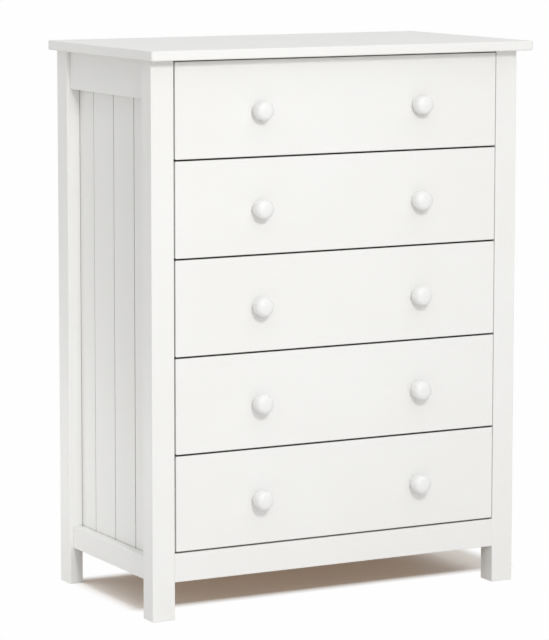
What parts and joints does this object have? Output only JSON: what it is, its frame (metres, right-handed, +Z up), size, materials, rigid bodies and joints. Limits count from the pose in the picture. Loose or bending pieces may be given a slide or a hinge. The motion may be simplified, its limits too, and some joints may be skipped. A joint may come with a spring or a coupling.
{
  "type": "tall chest of drawers",
  "caption": "Tall white-painted wooden chest: square posts, boarded sides, an overhanging top and a stack of full-width drawers with round knobs.",
  "frame": {"origin": "on the floor, under the centre of the top panel, which is the centre of the bounding box's base", "axes": "+Z up, the drawers open towards -Y, +X to the right of someone who faces the front"},
  "size_m": [0.8, 0.45, 1.04],
  "materials": {
    "white_paint": "satin white paint on wood",
    "knob_paint": "semi-gloss white paint on turned wood",
    "bare_pine": "planed, clear lacquered pine",
    "plywood": "thin smooth plywood",
    "hardboard": "thin board, white lacquered on the outside",
    "zinc_steel": "zinc plated"
  },
  "bodies": {
    "case": {"top_panel": "white_paint", "front_bottom_rail": "white_paint", "back_bottom_rail": "bare_pine", "top_stretcher_front": "bare_pine", "top_stretcher_rear": "bare_pine", "back_panel": "hardboard", "runner_screws": "zinc_steel", "top_screws": "zinc_steel", "back_panel_nails": "zinc_steel", "front_post_left": "white_paint", "rear_post_left": "white_paint", "side_top_rail_left": "white_paint", "side_bottom_rail_left": "white_paint", "side_boards_left": "white_paint", "runners_left": "bare_pine", "front_post_right": "white_paint", "rear_post_right": "white_paint", "side_top_rail_right": "white_paint", "side_bottom_rail_right": "white_paint", "side_boards_right": "white_paint", "runners_right": "bare_pine"},
    "drawer_1": {"drawer_1_front": "white_paint", "drawer_1_side_left": "bare_pine", "drawer_1_side_right": "bare_pine", "drawer_1_back": "bare_pine", "drawer_1_bottom": "plywood", "drawer_1_knobs": "knob_paint", "drawer_1_knob_screws": "zinc_steel"},
    "drawer_2": {"drawer_2_front": "white_paint", "drawer_2_side_left": "bare_pine", "drawer_2_side_right": "bare_pine", "drawer_2_back": "bare_pine", "drawer_2_bottom": "plywood", "drawer_2_knobs": "knob_paint", "drawer_2_knob_screws": "zinc_steel"},
    "drawer_3": {"drawer_3_front": "white_paint", "drawer_3_side_left": "bare_pine", "drawer_3_side_right": "bare_pine", "drawer_3_back": "bare_pine", "drawer_3_bottom": "plywood", "drawer_3_knobs": "knob_paint", "drawer_3_knob_screws": "zinc_steel"},
    "drawer_4": {"drawer_4_front": "white_paint", "drawer_4_side_left": "bare_pine", "drawer_4_side_right": "bare_pine", "drawer_4_back": "bare_pine", "drawer_4_bottom": "plywood", "drawer_4_knobs": "knob_paint", "drawer_4_knob_screws": "zinc_steel"},
    "drawer_5": {"drawer_5_front": "white_paint", "drawer_5_side_left": "bare_pine", "drawer_5_side_right": "bare_pine", "drawer_5_back": "bare_pine", "drawer_5_bottom": "plywood", "drawer_5_knobs": "knob_paint", "drawer_5_knob_screws": "zinc_steel"}
  },
  "joints": [
    {"name": "drawer_1_slide", "type": "slide", "parent": "case", "child": "drawer_1", "axis": [0, -1, 0], "range_m": [0, 0.28]},
    {"name": "drawer_2_slide", "type": "slide", "parent": "case", "child": "drawer_2", "axis": [0, -1, 0], "range_m": [0, 0.28]},
    {"name": "drawer_3_slide", "type": "slide", "parent": "case", "child": "drawer_3", "axis": [0, -1, 0], "range_m": [0, 0.28]},
    {"name": "drawer_4_slide", "type": "slide", "parent": "case", "child": "drawer_4", "axis": [0, -1, 0], "range_m": [0, 0.28]},
    {"name": "drawer_5_slide", "type": "slide", "parent": "case", "child": "drawer_5", "axis": [0, -1, 0], "range_m": [0, 0.28]}
  ]
}
